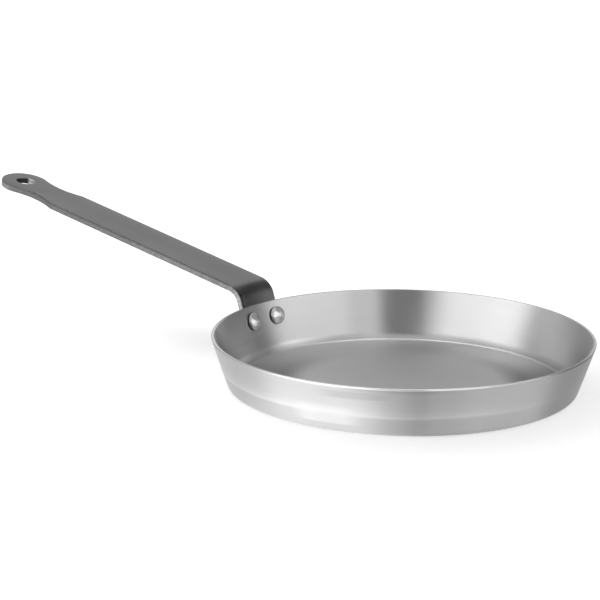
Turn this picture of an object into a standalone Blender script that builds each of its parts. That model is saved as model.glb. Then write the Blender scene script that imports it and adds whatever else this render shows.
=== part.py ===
"""Pancake pan: a low flared steel pan body with a flat strip handle riveted to its wall.

The frame has its origin at the centre of the base's underside, +Z up, and the handle
points along -X. Lengths are in metres and angles in radians.
"""

import math

import bmesh
import bpy
from mathutils import Matrix, Vector

# Pan body
RIM_DIAMETER = 0.240
BODY_HEIGHT = 0.0322
SHEET = 0.0020
WALL_LEAN = math.radians(18.8)
FLOOR_CORNER_RADIUS = 0.0025
RIM_EDGE_RADIUS = 0.0005

# Strip handle
STRIP_WIDTH = 0.0317
STRIP_THICKNESS = 0.0040
HANDLE_RISE = math.radians(10.1)
HANDLE_LENGTH = 0.2337
BEND_CORNER_RISE = 0.01165
BEND_INSIDE_RADIUS = 0.0090
FOOT_BELOW_RIVETS = 0.0090
FOOT_CORNER_RADIUS = 0.0040
NECK_WIDTH = 0.0243
NECK_RADIUS = 0.050
HEAD_RADIUS = 0.0162
HANG_HOLE_DIAMETER = 0.012
STRIP_EDGE_CHAMFER = 0.0004

# Rivets
RIVET_EDGE_DISTANCE = 0.00425
RIVET_DROP = 0.0106
SHANK_DIAMETER = 0.0050
DOME_DIAMETER = 0.0116
DOME_HEIGHT = 0.0031
FORMED_HEAD_DIAMETER = 0.0076
FORMED_HEAD_HEIGHT = 0.0018
HEAD_SIDE_HEIGHT = 0.0004

# Clearances between pieces that touch on the real pan
SEAT_GAP = 0.0003
SHANK_GAP = 0.0003

# Fineness
TURN_STEPS = 96
RIVET_STEPS = 28
ARC_STEP = math.radians(12)
EDGE_STEP = math.radians(30)
BEND_STEP = math.radians(7)
NECK_STEP = math.radians(4)
FOOT_COLUMNS = 8
CUT_OVERRUN = 0.004

# The wall's outer slope reaches the rim's height here, a little outside the rounded rim itself.
WALL_TOP_RADIUS = RIM_DIAMETER / 2 + RIM_EDGE_RADIUS * ((1 + math.sin(WALL_LEAN)) / math.cos(WALL_LEAN) - 1)
SIDE_THROUGH = SHEET / math.cos(WALL_LEAN)
BEND_OUTSIDE_RADIUS = BEND_INSIDE_RADIUS + STRIP_THICKNESS
BEND_ANGLE = math.pi / 2 - WALL_LEAN - HANDLE_RISE
RIVET_SPACING = STRIP_WIDTH - 2 * RIVET_EDGE_DISTANCE
FOOT_DROP = RIVET_DROP + FOOT_BELOW_RIVETS

COLOURS = {
    "pan_body": ((0.56, 0.56, 0.56), 0.34, 1.0),
    "handle": ((0.20, 0.20, 0.20), 0.55, 0.3),
    "rivet": ((0.60, 0.60, 0.60), 0.30, 1.0),
}


def clear_scene():
    for obj in list(bpy.data.objects):
        bpy.data.objects.remove(obj, do_unlink=True)


def material(name):
    """A Principled material with the piece's colour, roughness and metallic value."""
    colour, roughness, metallic = COLOURS[name]
    made = bpy.data.materials.get(name)
    if made is None:
        made = bpy.data.materials.new(name)
        made.use_nodes = True
        shader = made.node_tree.nodes["Principled BSDF"]
        shader.inputs["Base Color"].default_value = (*colour, 1.0)
        shader.inputs["Roughness"].default_value = roughness
        shader.inputs["Metallic"].default_value = metallic
    return made


def add_object(name, mesh, parent=None):
    """Links a new object that holds the mesh."""
    obj = bpy.data.objects.new(name, mesh)
    bpy.context.scene.collection.objects.link(obj)
    obj.parent = parent
    return obj


def finish_mesh(name, shape, sharp_angle=math.radians(35)):
    """Merges coincident points, turns the faces outwards and shades round stretches smooth."""
    bmesh.ops.remove_doubles(shape, verts=shape.verts, dist=1e-7)
    bmesh.ops.recalc_face_normals(shape, faces=shape.faces)
    mesh = bpy.data.meshes.new(name)
    shape.to_mesh(mesh)
    shape.free()
    mesh.shade_smooth()
    mesh.set_sharp_from_angle(angle=sharp_angle)
    return mesh


def arc(centre, radius, start, end, step=ARC_STEP):
    """Points of a plane arc from angle start to angle end, both ends included."""
    count = max(2, math.ceil(abs(end - start) / step))
    angles = [start + (end - start) * i / count for i in range(count + 1)]
    return [(centre[0] + radius * math.cos(a), centre[1] + radius * math.sin(a)) for a in angles]


def turned_mesh(name, profile, steps):
    """Turns a profile of (radius, height) points about Z. Its first and last points lie on the axis."""
    shape = bmesh.new()
    rings = []
    for radius, height in profile:
        turns = [2 * math.pi * i / steps for i in range(steps if radius > 0 else 1)]
        rings.append([shape.verts.new((radius * math.cos(t), radius * math.sin(t), height)) for t in turns])
    for low, high in zip(rings, rings[1:]):
        for i in range(steps):
            j = (i + 1) % steps
            corners = [low[i % len(low)], low[j % len(low)], high[j % len(high)], high[i % len(high)]]
            shape.faces.new(list(dict.fromkeys(corners)))
    return finish_mesh(name, shape)


def wall_outside(drop):
    """(radius, height) of the wall's outer face, drop metres below the rim along the slope."""
    return (WALL_TOP_RADIUS - drop * math.sin(WALL_LEAN), BODY_HEIGHT - drop * math.cos(WALL_LEAN))


def body_profile():
    """The pan body's section, from the middle of its underside round the rim to the middle of its floor."""
    open_angle = math.pi / 2 - WALL_LEAN
    edge = RIM_EDGE_RADIUS
    # The wall's inner face meets the floor line here if no fillet is drawn.
    inner_foot = WALL_TOP_RADIUS - SIDE_THROUGH - (BODY_HEIGHT - SHEET) * math.tan(WALL_LEAN)
    corner = (inner_foot - FLOOR_CORNER_RADIUS * math.tan(open_angle / 2), SHEET + FLOOR_CORNER_RADIUS)
    rim_outer = (RIM_DIAMETER / 2 - edge, BODY_HEIGHT - edge)
    rim_inner = (WALL_TOP_RADIUS - SIDE_THROUGH + edge * math.tan(open_angle / 2), BODY_HEIGHT - edge)
    profile = [(0.0, 0.0)]
    profile += arc(corner, FLOOR_CORNER_RADIUS + SHEET, -math.pi / 2, -WALL_LEAN)
    profile += arc(rim_outer, edge, -WALL_LEAN, math.pi / 2, EDGE_STEP)
    profile += arc(rim_inner, edge, math.pi / 2, math.pi - WALL_LEAN, EDGE_STEP)
    profile += arc(corner, FLOOR_CORNER_RADIUS, -WALL_LEAN, -math.pi / 2)
    profile.append((0.0, SHEET))
    return profile


def bend_corner():
    """(radius, height) where the foot's inner face and the strip's top face would meet, unbent."""
    seat = SEAT_GAP / math.cos(WALL_LEAN)
    return (
        WALL_TOP_RADIUS + seat + BEND_CORNER_RISE * math.tan(WALL_LEAN),
        BODY_HEIGHT + BEND_CORNER_RISE,
    )


BEND_SETBACK = BEND_OUTSIDE_RADIUS * math.tan(BEND_ANGLE / 2)
FOOT_RUN = FOOT_DROP + BEND_CORNER_RISE / math.cos(WALL_LEAN) - BEND_SETBACK
BEND_RUN = BEND_OUTSIDE_RADIUS * BEND_ANGLE
ARM_RUN = HANDLE_LENGTH - BEND_SETBACK
STRIP_RUN = FOOT_RUN + BEND_RUN + ARM_RUN
HEAD_STATION = STRIP_RUN - HEAD_RADIUS


def strip_outline():
    """One edge of the flat strip, foot to tip: (station, half width, outward normal) of each point."""
    half = STRIP_WIDTH / 2
    rows = []
    foot_centre = (FOOT_CORNER_RADIUS, half - FOOT_CORNER_RADIUS)
    for x, y in arc(foot_centre, FOOT_CORNER_RADIUS, math.pi, math.pi / 2):
        normal = ((x - foot_centre[0]) / FOOT_CORNER_RADIUS, (y - foot_centre[1]) / FOOT_CORNER_RADIUS)
        rows.append((x, y, *normal))
    bend_steps = math.ceil(BEND_ANGLE / BEND_STEP)
    stations = [FOOT_RUN + BEND_RUN * i / bend_steps for i in range(bend_steps + 1)]
    rows += [(station, half, 0.0, 1.0) for station in stations]
    # The neck is an arc on each side, tangent to the round head.
    neck_height = NECK_WIDTH / 2 + NECK_RADIUS
    neck_station = HEAD_STATION - math.sqrt((HEAD_RADIUS + NECK_RADIUS) ** 2 - neck_height**2)
    neck_centre = (neck_station, neck_height)
    neck_start = -math.pi + math.asin((neck_height - half) / NECK_RADIUS)
    neck_end = math.atan2(-neck_height, HEAD_STATION - neck_station)
    corner = len(rows)
    for x, y in arc(neck_centre, NECK_RADIUS, neck_start, neck_end, NECK_STEP):
        rows.append((x, y, (neck_centre[0] - x) / NECK_RADIUS, (neck_centre[1] - y) / NECK_RADIUS))
    # The chamfer is mitred where the straight edge turns into the neck.
    x, y, along, across = rows[corner]
    rows[corner] = (x, y, along / (1 + across), 1.0)
    head_start = math.pi + neck_end
    for x, y in arc((HEAD_STATION, 0.0), HEAD_RADIUS, head_start, 0.0)[1:]:
        rows.append((x, y, (x - HEAD_STATION) / HEAD_RADIUS, y / HEAD_RADIUS))
    return rows


def fold(station, across, depth):
    """Where a point of the flat strip lies once the strip is bent and its foot is curved to the wall.

    station runs along the strip's top face from the foot's end, across is its distance from
    the middle, and depth is how far it lies below the top face.
    """
    corner_radius, corner_height = bend_corner()
    to_foot = (math.sin(WALL_LEAN), math.cos(WALL_LEAN))
    outwards = (math.cos(WALL_LEAN), -math.sin(WALL_LEAN))
    bend_start = (corner_radius - BEND_SETBACK * to_foot[0], corner_height - BEND_SETBACK * to_foot[1])
    turned = min(max(station - FOOT_RUN, 0.0) / BEND_OUTSIDE_RADIUS, BEND_ANGLE)
    before = min(station - FOOT_RUN, 0.0)
    after = max(station - FOOT_RUN - BEND_RUN, 0.0)
    along = WALL_LEAN + turned
    centre = [bend_start[i] + BEND_OUTSIDE_RADIUS * outwards[i] for i in (0, 1)]
    face = (
        centre[0] - BEND_OUTSIDE_RADIUS * math.cos(along) + before * to_foot[0] + after * math.sin(along),
        centre[1] + BEND_OUTSIDE_RADIUS * math.sin(along) + before * to_foot[1] + after * math.cos(along),
    )
    radius = face[0] + depth * math.cos(along)
    height = face[1] - depth * math.sin(along)
    # The cross curve is the wall's own round at the foot, and fades out through the bend.
    share = 1 - turned / BEND_ANGLE
    curved = share * share * (3 - 2 * share)
    if curved < 1e-6:
        return Vector((-radius, across, height))
    turn = curved * across / face[0]
    swing = face[0] / curved + radius - face[0]
    return Vector((-(face[0] - face[0] / curved + swing * math.cos(turn)), swing * math.sin(turn), height))


def strip_ring(shape, row):
    """The strip's closed cross-section through one outline point, as a loop of vertices."""
    station, half, normal_along, normal_across = row
    chamfer = STRIP_EDGE_CHAMFER
    face_station = station - chamfer * normal_along
    face_half = max(half - chamfer * normal_across, 0.0)
    columns = [face_half * (2 * i / FOOT_COLUMNS - 1) for i in range(FOOT_COLUMNS + 1)]
    deep = STRIP_THICKNESS
    flat = [(face_station, y, 0.0) for y in columns]
    flat += [(station, half, chamfer), (station, half, deep - chamfer)]
    flat += [(face_station, y, deep) for y in reversed(columns)]
    flat += [(station, -half, deep - chamfer), (station, -half, chamfer)]
    return [shape.verts.new(fold(*point)) for point in flat]


def handle_mesh():
    """The strip as rings from foot to tip. The last ring closes on the tip, the first gets an end face."""
    shape = bmesh.new()
    rings = [strip_ring(shape, row) for row in strip_outline()]
    size = len(rings[0])
    for low, high in zip(rings, rings[1:]):
        for i in range(size):
            j = (i + 1) % size
            shape.faces.new((low[i], low[j], high[j], high[i]))
    foot = rings[0]
    top = foot[: FOOT_COLUMNS + 1]
    bottom = foot[FOOT_COLUMNS + 3 : 2 * FOOT_COLUMNS + 4][::-1]
    for i in range(FOOT_COLUMNS):
        shape.faces.new((top[i], bottom[i], bottom[i + 1], top[i + 1]))
    shape.faces.new((top[-1], bottom[-1], foot[FOOT_COLUMNS + 2], foot[FOOT_COLUMNS + 1]))
    shape.faces.new((top[0], foot[-1], foot[-2], bottom[0]))
    return finish_mesh("handle", shape)


def rivet_places():
    """The two rivets' frames: origin on the wall's outer face, +Z out of the pan along the wall's normal."""
    radius, height = wall_outside(RIVET_DROP)
    for side, name in ((-1, "rivet_left"), (1, "rivet_right")):
        swing = side * math.asin(RIVET_SPACING / 2 / radius)
        away = Vector((-math.cos(swing), math.sin(swing), 0.0))
        spot = radius * away + Vector((0.0, 0.0, height))
        normal = away * math.cos(WALL_LEAN) - Vector((0.0, 0.0, math.sin(WALL_LEAN)))
        turn = Vector((0.0, 0.0, 1.0)).rotation_difference(normal)
        yield name, Matrix.Translation(spot) @ turn.to_matrix().to_4x4()


def dome(radius, height, seat, direction):
    """A cap's half section from its edge to its crown: a sphere's arc on a short straight side."""
    side = HEAD_SIDE_HEIGHT
    crown = height - side
    ball = (radius**2 + crown**2) / (2 * crown)
    edge = math.asin(radius / ball)
    steps = max(5, math.ceil(edge / ARC_STEP))
    points = [(radius, seat), (radius, seat + direction * side)]
    for i in range(1, steps + 1):
        a = edge * (1 - i / steps)
        points.append((ball * math.sin(a), seat + direction * (side + ball * math.cos(a) - ball + crown)))
    points[-1] = (0.0, points[-1][1])
    return points


def rivet_mesh():
    """A rivet along Z: a domed head on the pan's inside, a shank, and a formed head on the strip's foot."""
    wall_round = wall_outside(RIVET_DROP)[0] - SIDE_THROUGH
    head_bow = (DOME_DIAMETER / 2) ** 2 / (2 * wall_round)
    inner_seat = -SHEET - SEAT_GAP - head_bow
    outer_seat = SEAT_GAP + STRIP_THICKNESS + SEAT_GAP
    shank = SHANK_DIAMETER / 2
    inner = dome(DOME_DIAMETER / 2, DOME_HEIGHT, inner_seat, -1)
    outer = dome(FORMED_HEAD_DIAMETER / 2, FORMED_HEAD_HEIGHT, outer_seat, 1)
    profile = inner[::-1] + [(shank, inner_seat), (shank, outer_seat)] + outer
    return turned_mesh("rivet", profile, RIVET_STEPS)


def cutter(name, diameter, low, high, place):
    """A round cutter along Z from low to high, in the given frame."""
    radius = diameter / 2
    profile = [(0.0, low), (radius, low), (radius, high), (0.0, high)]
    obj = add_object(name, turned_mesh(name, profile, RIVET_STEPS))
    obj.matrix_world = place
    obj.hide_render = True
    obj.display_type = "WIRE"
    return obj


def cut(obj, tool):
    """Takes the tool's shape out of the object."""
    modifier = obj.modifiers.new(tool.name, "BOOLEAN")
    modifier.operation = "DIFFERENCE"
    modifier.solver = "EXACT"
    modifier.object = tool


def hang_hole_place():
    """The hanging hole's frame: origin at the head's centre on the top face, +Z square to the strip."""
    spot = fold(HEAD_STATION, 0.0, 0.0)
    return Matrix.Translation(spot) @ Matrix.Rotation(HANDLE_RISE, 4, "Y")


def main():
    clear_scene()
    pan = bpy.data.objects.new("pan", None)
    bpy.context.scene.collection.objects.link(pan)

    body = add_object("pan_body", turned_mesh("pan_body", body_profile(), TURN_STEPS), pan)
    body.data.materials.append(material("pan_body"))

    handle = add_object("handle", handle_mesh(), pan)
    handle.data.materials.append(material("handle"))

    shank_hole = SHANK_DIAMETER + 2 * SHANK_GAP
    rivet = rivet_mesh()
    rivet.materials.append(material("rivet"))
    for name, place in rivet_places():
        placed = add_object(name, rivet, pan)
        placed.matrix_world = place
        low = -SHEET - CUT_OVERRUN
        high = SEAT_GAP + STRIP_THICKNESS + CUT_OVERRUN
        tool = cutter(name + "_hole", shank_hole, low, high, place)
        cut(body, tool)
        cut(handle, tool)

    low = -STRIP_THICKNESS - CUT_OVERRUN
    hang_hole = cutter("hang_hole", HANG_HOLE_DIAMETER, low, CUT_OVERRUN, hang_hole_place())
    cut(handle, hang_hole)


main()
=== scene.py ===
"""Looks of a low flared steel pancake pan with a riveted strip handle.

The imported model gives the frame: origin at the centre of the base's underside, +Z up, handle
along -X, metres. Every visible piece is a finer surface that stands for one solid of the frame.
"""

from __future__ import annotations

import logging
import math
from dataclasses import dataclass, field
from enum import Enum
from typing import Any

import bmesh
import bpy
import numpy as np
from mathutils import Matrix, Vector

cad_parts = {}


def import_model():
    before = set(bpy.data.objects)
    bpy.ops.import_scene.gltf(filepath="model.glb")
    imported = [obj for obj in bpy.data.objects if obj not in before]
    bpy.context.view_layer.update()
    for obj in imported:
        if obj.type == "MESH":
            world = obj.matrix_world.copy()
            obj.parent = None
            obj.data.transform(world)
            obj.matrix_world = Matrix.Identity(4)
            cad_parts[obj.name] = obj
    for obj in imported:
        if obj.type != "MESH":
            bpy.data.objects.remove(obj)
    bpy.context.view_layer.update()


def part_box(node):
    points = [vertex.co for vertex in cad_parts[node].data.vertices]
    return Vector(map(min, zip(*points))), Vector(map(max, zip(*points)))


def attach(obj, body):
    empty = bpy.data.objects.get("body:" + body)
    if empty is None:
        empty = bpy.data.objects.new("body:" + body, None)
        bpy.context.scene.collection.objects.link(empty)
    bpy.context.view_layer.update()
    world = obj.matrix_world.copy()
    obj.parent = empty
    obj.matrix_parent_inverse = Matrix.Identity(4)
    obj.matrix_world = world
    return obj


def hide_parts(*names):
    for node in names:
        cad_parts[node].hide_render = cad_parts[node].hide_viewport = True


Array = np.ndarray
Node = bpy.types.Node
Socket = bpy.types.NodeSocket
Table = tuple[float, ...]
Pair = tuple[float, float]
Wave = tuple[float, int, float]

LOG = logging.getLogger("pancake_pan")
BODY = "root"
IMAGE_SIDE = 600.0
SENSOR_WIDTH = 36.0
RUBBED = "rubbed"
SHADED = "shaded"
# Marks of painted light: a painted highlight above 0, painted shade below 0
PAINTED_LIGHT = "painted_light"
UV_NAME = "along_across"
MIX_SHARE, MIX_LOW, MIX_HIGH, MIX_RESULT = 0, 6, 7, 2  # a colour Mix node's sockets by number
WELD = 2e-6  # metres: points this near to each other are one
TINY = 1e-20  # the least length that a normal is divided by
FLAT = 1e-7  # the least share of the wall's curve, which keeps the strip's formulas finite
LEAST_RADIUS = 1e-4  # metres: nearer to the axis the brushing has no direction
PEAKS: Pair = (0.52, 0.72)  # where the grain's peaks begin and where they are full
BREAKS: Pair = (0.35, 0.65)  # the same for the breaks in a rubbed edge


class Slot(str, Enum):
    """The record's material slots."""

    PAN = "pan_steel"
    HANDLE = "handle_steel"
    RIVET = "rivet_steel"


# Meshes


@dataclass
class Surface:
    """Patches of one piece, gathered until they are welded into a mesh.

    Each patch is a grid of points. Neighbouring patches share the points of their common edge,
    so a weld by distance closes the surface.
    """

    points: list[Array] = field(default_factory=list)
    uvs: list[Array] = field(default_factory=list)
    marks: list[Array] = field(default_factory=list)
    quads: list[Array] = field(default_factory=list)
    count: int = 0

    def add(self, grid: Array, uv: Array, marks: tuple[Any, ...], closed: bool = False) -> None:
        """Adds a grid of points and its quads.

        Args:
            grid: Points, rows by columns by 3.
            uv: Surface coordinates in metres, rows by columns by 2.
            marks: How far each point is rubbed bright (edge wear, with a painted highlight on
            the pan's near rim and in the handle's hole), shaded (painted shade on the
            handle and the rivets, the floor's own finish on the pan) and given painted
            light (painted shade below 0), each rows by columns or a number.
            closed: Whether the last row joins the first.
        """
        rows, columns = grid.shape[:2]
        index = np.arange(rows * columns).reshape(rows, columns) + self.count
        if closed:
            index = np.vstack([index, index[:1]])
        corners = [index[:-1, :-1], index[1:, :-1], index[1:, 1:], index[:-1, 1:]]
        self.quads.append(np.stack(corners, axis=-1).reshape(-1, 4))
        self.points.append(grid.reshape(-1, 3))
        self.uvs.append(uv.reshape(-1, 2))
        flat = np.zeros(grid.shape[:2])
        self.marks.append(np.stack([(mark + flat).reshape(-1) for mark in marks]))
        self.count += rows * columns

    def mesh(self, name: str) -> bpy.types.Mesh:
        """Welds the patches into one closed mesh with its faces outwards.

        Args:
            name: The mesh's name.

        Returns:
            The mesh, with a UV map, the finish attributes and area-weighted normals.
        """
        points = np.concatenate(self.points)
        quads = np.concatenate(self.quads)
        uvs = np.concatenate(self.uvs)
        made = bpy.data.meshes.new(name)
        made.from_pydata(points, [], quads)
        layer = made.uv_layers.new(name=UV_NAME)
        layer.data.foreach_set("uv", uvs[quads.reshape(-1)].astype(np.float32).reshape(-1))
        for key, marks in zip((RUBBED, SHADED, PAINTED_LIGHT), np.concatenate(self.marks, axis=1)):
            attribute = made.attributes.new(key, "FLOAT", "POINT")
            attribute.data.foreach_set("value", marks.astype(np.float32))
        shape = bmesh.new()
        shape.from_mesh(made)
        bmesh.ops.remove_doubles(shape, verts=shape.verts, dist=WELD)
        bmesh.ops.dissolve_degenerate(shape, edges=shape.edges, dist=WELD)
        bmesh.ops.recalc_face_normals(shape, faces=shape.faces)
        shape.to_mesh(made)
        shape.free()
        weight_normals(made)
        return made


def weight_normals(mesh: bpy.types.Mesh) -> None:
    """Gives each point its faces' mean normal, weighted by their area, so that flats stay flat.

    A triangle's weighted normal is the cross product of two of its sides.

    Args:
        mesh: The mesh, changed in place.
    """
    mesh.shade_smooth()
    mesh.calc_loop_triangles()
    points = np.empty(len(mesh.vertices) * 3)
    mesh.vertices.foreach_get("co", points)
    points = points.reshape(-1, 3)
    corners = np.empty(len(mesh.loop_triangles) * 3, np.int32)
    mesh.loop_triangles.foreach_get("vertices", corners)
    corners = corners.reshape(-1, 3)
    a, b, c = (points[corners[:, i]] for i in range(3))
    facing = np.cross(b - a, c - a)
    normals = np.zeros_like(points)
    for i in range(3):
        np.add.at(normals, corners[:, i], facing)
    normals /= np.maximum(np.linalg.norm(normals, axis=1, keepdims=True), TINY)
    mesh.normals_split_custom_set_from_vertices(normals)


def arc(centre: Pair, radius: float, start: float, end: float, steps: int) -> Array:
    """Points of a plane arc: centre + radius * (cos a, sin a), a running evenly from start to end.

    Args:
        centre: The middle of the circle.
        radius: Its radius.
        start: The first angle.
        end: The last angle.
        steps: How many steps lie between them.

    Returns:
        Points, steps + 1 by 2.
    """
    a = np.linspace(start, end, steps + 1)
    return np.stack([centre[0] + radius * np.cos(a), centre[1] + radius * np.sin(a)], axis=1)


def straight(start: Array, end: Array, steps: int) -> Array:
    """Points that run evenly from start to end, both left out.

    Args:
        start: The first point.
        end: The last point.
        steps: How many steps lie between them.

    Returns:
        Points, steps - 1 by 2.
    """
    share = np.linspace(0.0, 1.0, steps + 1)[1:-1, None]
    return start * (1 - share) + end * share


def smooth(value: Array) -> Array:
    """The smooth step 3v^2 - 2v^3 of a value held between 0 and 1."""
    held = np.clip(value, 0.0, 1.0)
    return held * held * (3 - 2 * held)


@dataclass(frozen=True)
class Sector:
    """A stretch of the pan's round, in degrees: its middle, its reach each way, its soft ends."""

    azimuth: float
    reach: float
    fade: float = 8.0

    def share(self, turn: Array, least: float = 0.0) -> Array:
        """1 within reach of the azimuth, falling to least over fade by a smooth step.

        Args:
            turn: Angles round the axis, in radians.
            least: The share far away.

        Returns:
            The share at each angle.
        """
        off = np.abs(np.angle(np.exp(1j * (turn - math.radians(self.azimuth)))))
        fade = math.radians(self.fade)
        near = smooth((math.radians(self.reach) + fade - off) / fade)
        return least + (1 - least) * near


def add_piece(
    name: str, surface: Surface, material: bpy.types.Material, node: str
) -> bpy.types.Object:
    """Links a piece that stands for one node of the frame, and reports it.

    Args:
        name: The piece's name.
        surface: Its patches, in place.
        material: Its material.
        node: The node that it stands for.

    Returns:
        The new object.
    """
    mesh = surface.mesh(name)
    piece = bpy.data.objects.new(name, mesh)
    bpy.context.scene.collection.objects.link(piece)
    mesh.materials.append(material)
    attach(piece, BODY)
    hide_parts(node)
    LOG.info("%s: %d faces, stands for %s", name, len(mesh.polygons), node)
    return piece


# Shader node groups


class Graph:
    """A node tree with short calls for the nodes that the finishes use."""

    def __init__(self, tree: bpy.types.NodeTree) -> None:
        """Keeps the tree that the nodes go into."""
        self.tree = tree

    def node(self, kind: str, **settings: Any) -> Node:
        """A new node of this type, with its properties set.

        Args:
            kind: The node's type.
            settings: Its properties.

        Returns:
            The node.
        """
        made = self.tree.nodes.new(kind)
        for key, value in settings.items():
            setattr(made, key, value)
        return made

    def put(self, target: Socket, value: Any) -> None:
        """Links the target to a socket, or sets it to a number or colour.

        Args:
            target: An input socket.
            value: A socket, number or colour.
        """
        if isinstance(value, bpy.types.NodeSocket):
            self.tree.links.new(value, target)
        else:
            target.default_value = value

    def math(self, operation: str, *values: Any, clamp: bool = False) -> Socket:
        """The result of a Math node.

        Args:
            operation: The node's operation.
            values: Sockets or numbers, in order.
            clamp: Whether the result is held between 0 and 1.

        Returns:
            The result.
        """
        made = self.node("ShaderNodeMath", operation=operation, use_clamp=clamp)
        for socket, value in zip(made.inputs, values):
            self.put(socket, value)
        return made.outputs[0]

    def mark(self, name: str) -> Socket:
        """The value of one of the mesh's mark attributes: wear, shade or painted light."""
        return self.node("ShaderNodeAttribute", attribute_name=name).outputs["Fac"]

    def noise(self, vector: Socket, scale: Any, detail: float, roughness: float) -> Socket:
        """The value of a 3-D noise texture, 0 to 1.

        Args:
            vector: Where it is read.
            scale: Its scale.
            detail: How many finer layers it has.
            roughness: How strong the finer layers are.

        Returns:
            The value.
        """
        made = self.node("ShaderNodeTexNoise", noise_dimensions="3D")
        self.put(made.inputs["Vector"], vector)
        self.put(made.inputs["Scale"], scale)
        made.inputs["Detail"].default_value = detail
        made.inputs["Roughness"].default_value = roughness
        return made.outputs["Fac"]

    def between(
        self, value: Socket, low: Any, high: Any, to_low: Any = 0.0, to_high: Any = 1.0
    ) -> Socket:
        """A value mapped from low..high to another range by a smooth step, held at its ends.

        Args:
            value: The value.
            low: Where the first range starts.
            high: Where it ends.
            to_low: What low becomes.
            to_high: What high becomes.

        Returns:
            The mapped value.
        """
        made = self.node("ShaderNodeMapRange", clamp=True, interpolation_type="SMOOTHSTEP")
        names = ("Value", "From Min", "From Max", "To Min", "To Max")
        for name, given in zip(names, (value, low, high, to_low, to_high)):
            self.put(made.inputs[name], given)
        return made.outputs[0]

    def blend(self, share: Any, low: Any, high: Any, **settings: Any) -> Socket:
        """A colour between low and high, or what the node's other settings make of them.

        Args:
            share: How much of high is taken.
            low: The first colour.
            high: The second colour.
            settings: The node's other properties.

        Returns:
            The colour.
        """
        made = self.node("ShaderNodeMix", data_type="RGBA", **settings)
        for index, given in ((MIX_SHARE, share), (MIX_LOW, low), (MIX_HIGH, high)):
            self.put(made.inputs[index], given)
        return made.outputs[MIX_RESULT]

    def product(self, one: Any, other: Any) -> Socket:
        """Two colours multiplied."""
        return self.blend(1.0, one, other, blend_type="MULTIPLY")

    def split(self, vector: Socket) -> tuple[Socket, ...]:
        """A vector's three values.

        Args:
            vector: The vector.

        Returns:
            Its x, y and z.
        """
        made = self.node("ShaderNodeSeparateXYZ")
        self.put(made.inputs[0], vector)
        return tuple(made.outputs)

    def join(self, x: Any, y: Any, z: Any) -> Socket:
        """A vector of three values.

        Args:
            x: The first value.
            y: The second value.
            z: The third value.

        Returns:
            The vector.
        """
        made = self.node("ShaderNodeCombineXYZ")
        for socket, value in zip(made.inputs, (x, y, z)):
            self.put(socket, value)
        return made.outputs[0]


def new_group(
    name: str, inputs: dict[str, float], outputs: tuple[str, ...]
) -> tuple[Graph, Node, Node]:
    """An empty node group with a Vector input, number inputs and number outputs.

    Args:
        name: The group's name.
        inputs: Each number input with its default.
        outputs: The outputs, all numbers.

    Returns:
        The group's graph, its input node and its output node.
    """
    tree = bpy.data.node_groups.new(name, "ShaderNodeTree")
    tree.interface.new_socket("Vector", in_out="INPUT", socket_type="NodeSocketVector")
    for key, value in inputs.items():
        socket = tree.interface.new_socket(key, in_out="INPUT", socket_type="NodeSocketFloat")
        socket.default_value = value
    for key in outputs:
        tree.interface.new_socket(key, in_out="OUTPUT", socket_type="NodeSocketFloat")
    graph = Graph(tree)
    return graph, graph.node("NodeGroupInput"), graph.node("NodeGroupOutput")


def turned_brushing_group() -> bpy.types.NodeTree:
    """Fine lines that run round the Z axis, as a turned or spun sheet has.

    The noise is read at (cos t, sin t, radius + height): t is the angle round the axis, drawn out
    by Run, and Fine and Coarse set how many lines lie across a metre.

    Returns:
        The group.
    """
    inputs = {"Run": 2.0, "Fine": 2600.0, "Coarse": 260.0}
    graph, given, result = new_group("turned_brushing", inputs, ("Lines", "Bands"))
    x, y, z = graph.split(given.outputs["Vector"])
    square = graph.math("ADD", graph.math("MULTIPLY", x, x), graph.math("MULTIPLY", y, y))
    radius = graph.math("MAXIMUM", graph.math("SQRT", square), LEAST_RADIUS)
    across = graph.math("ADD", radius, z)
    turned = [
        graph.math("MULTIPLY", graph.math("DIVIDE", side, radius), given.outputs["Run"])
        for side in (x, y)
    ]
    for key, output, detail in (("Fine", "Lines", 3.0), ("Coarse", "Bands", 2.0)):
        line = graph.join(*turned, graph.math("MULTIPLY", across, given.outputs[key]))
        graph.put(result.inputs[output], graph.noise(line, 1.0, detail, roughness=0.6))
    return graph.tree


def clouding_group() -> bpy.types.NodeTree:
    """Soft patches left by handling and rolling: two octaves of large noise, spread about 0.5.

    Returns:
        The group.
    """
    graph, given, result = new_group("clouding", {"Scale": 14.0, "Contrast": 1.0}, ("Cloud",))
    value = graph.noise(given.outputs["Vector"], given.outputs["Scale"], detail=2.0, roughness=0.55)
    spread = graph.math("MULTIPLY", graph.math("SUBTRACT", value, 0.5), given.outputs["Contrast"])
    graph.put(result.inputs["Cloud"], graph.math("ADD", spread, 0.5, clamp=True))
    return graph.tree


def fine_grain_group() -> bpy.types.NodeTree:
    """The fine pitted grain of a baked coating: small noise for height, and its peaks as a mask.

    Returns:
        The group.
    """
    graph, given, result = new_group("fine_grain", {"Scale": 2200.0}, ("Grain", "Peaks"))
    value = graph.noise(given.outputs["Vector"], given.outputs["Scale"], detail=2.0, roughness=0.6)
    graph.put(result.inputs["Grain"], value)
    graph.put(result.inputs["Peaks"], graph.between(value, *PEAKS))
    return graph.tree


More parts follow.
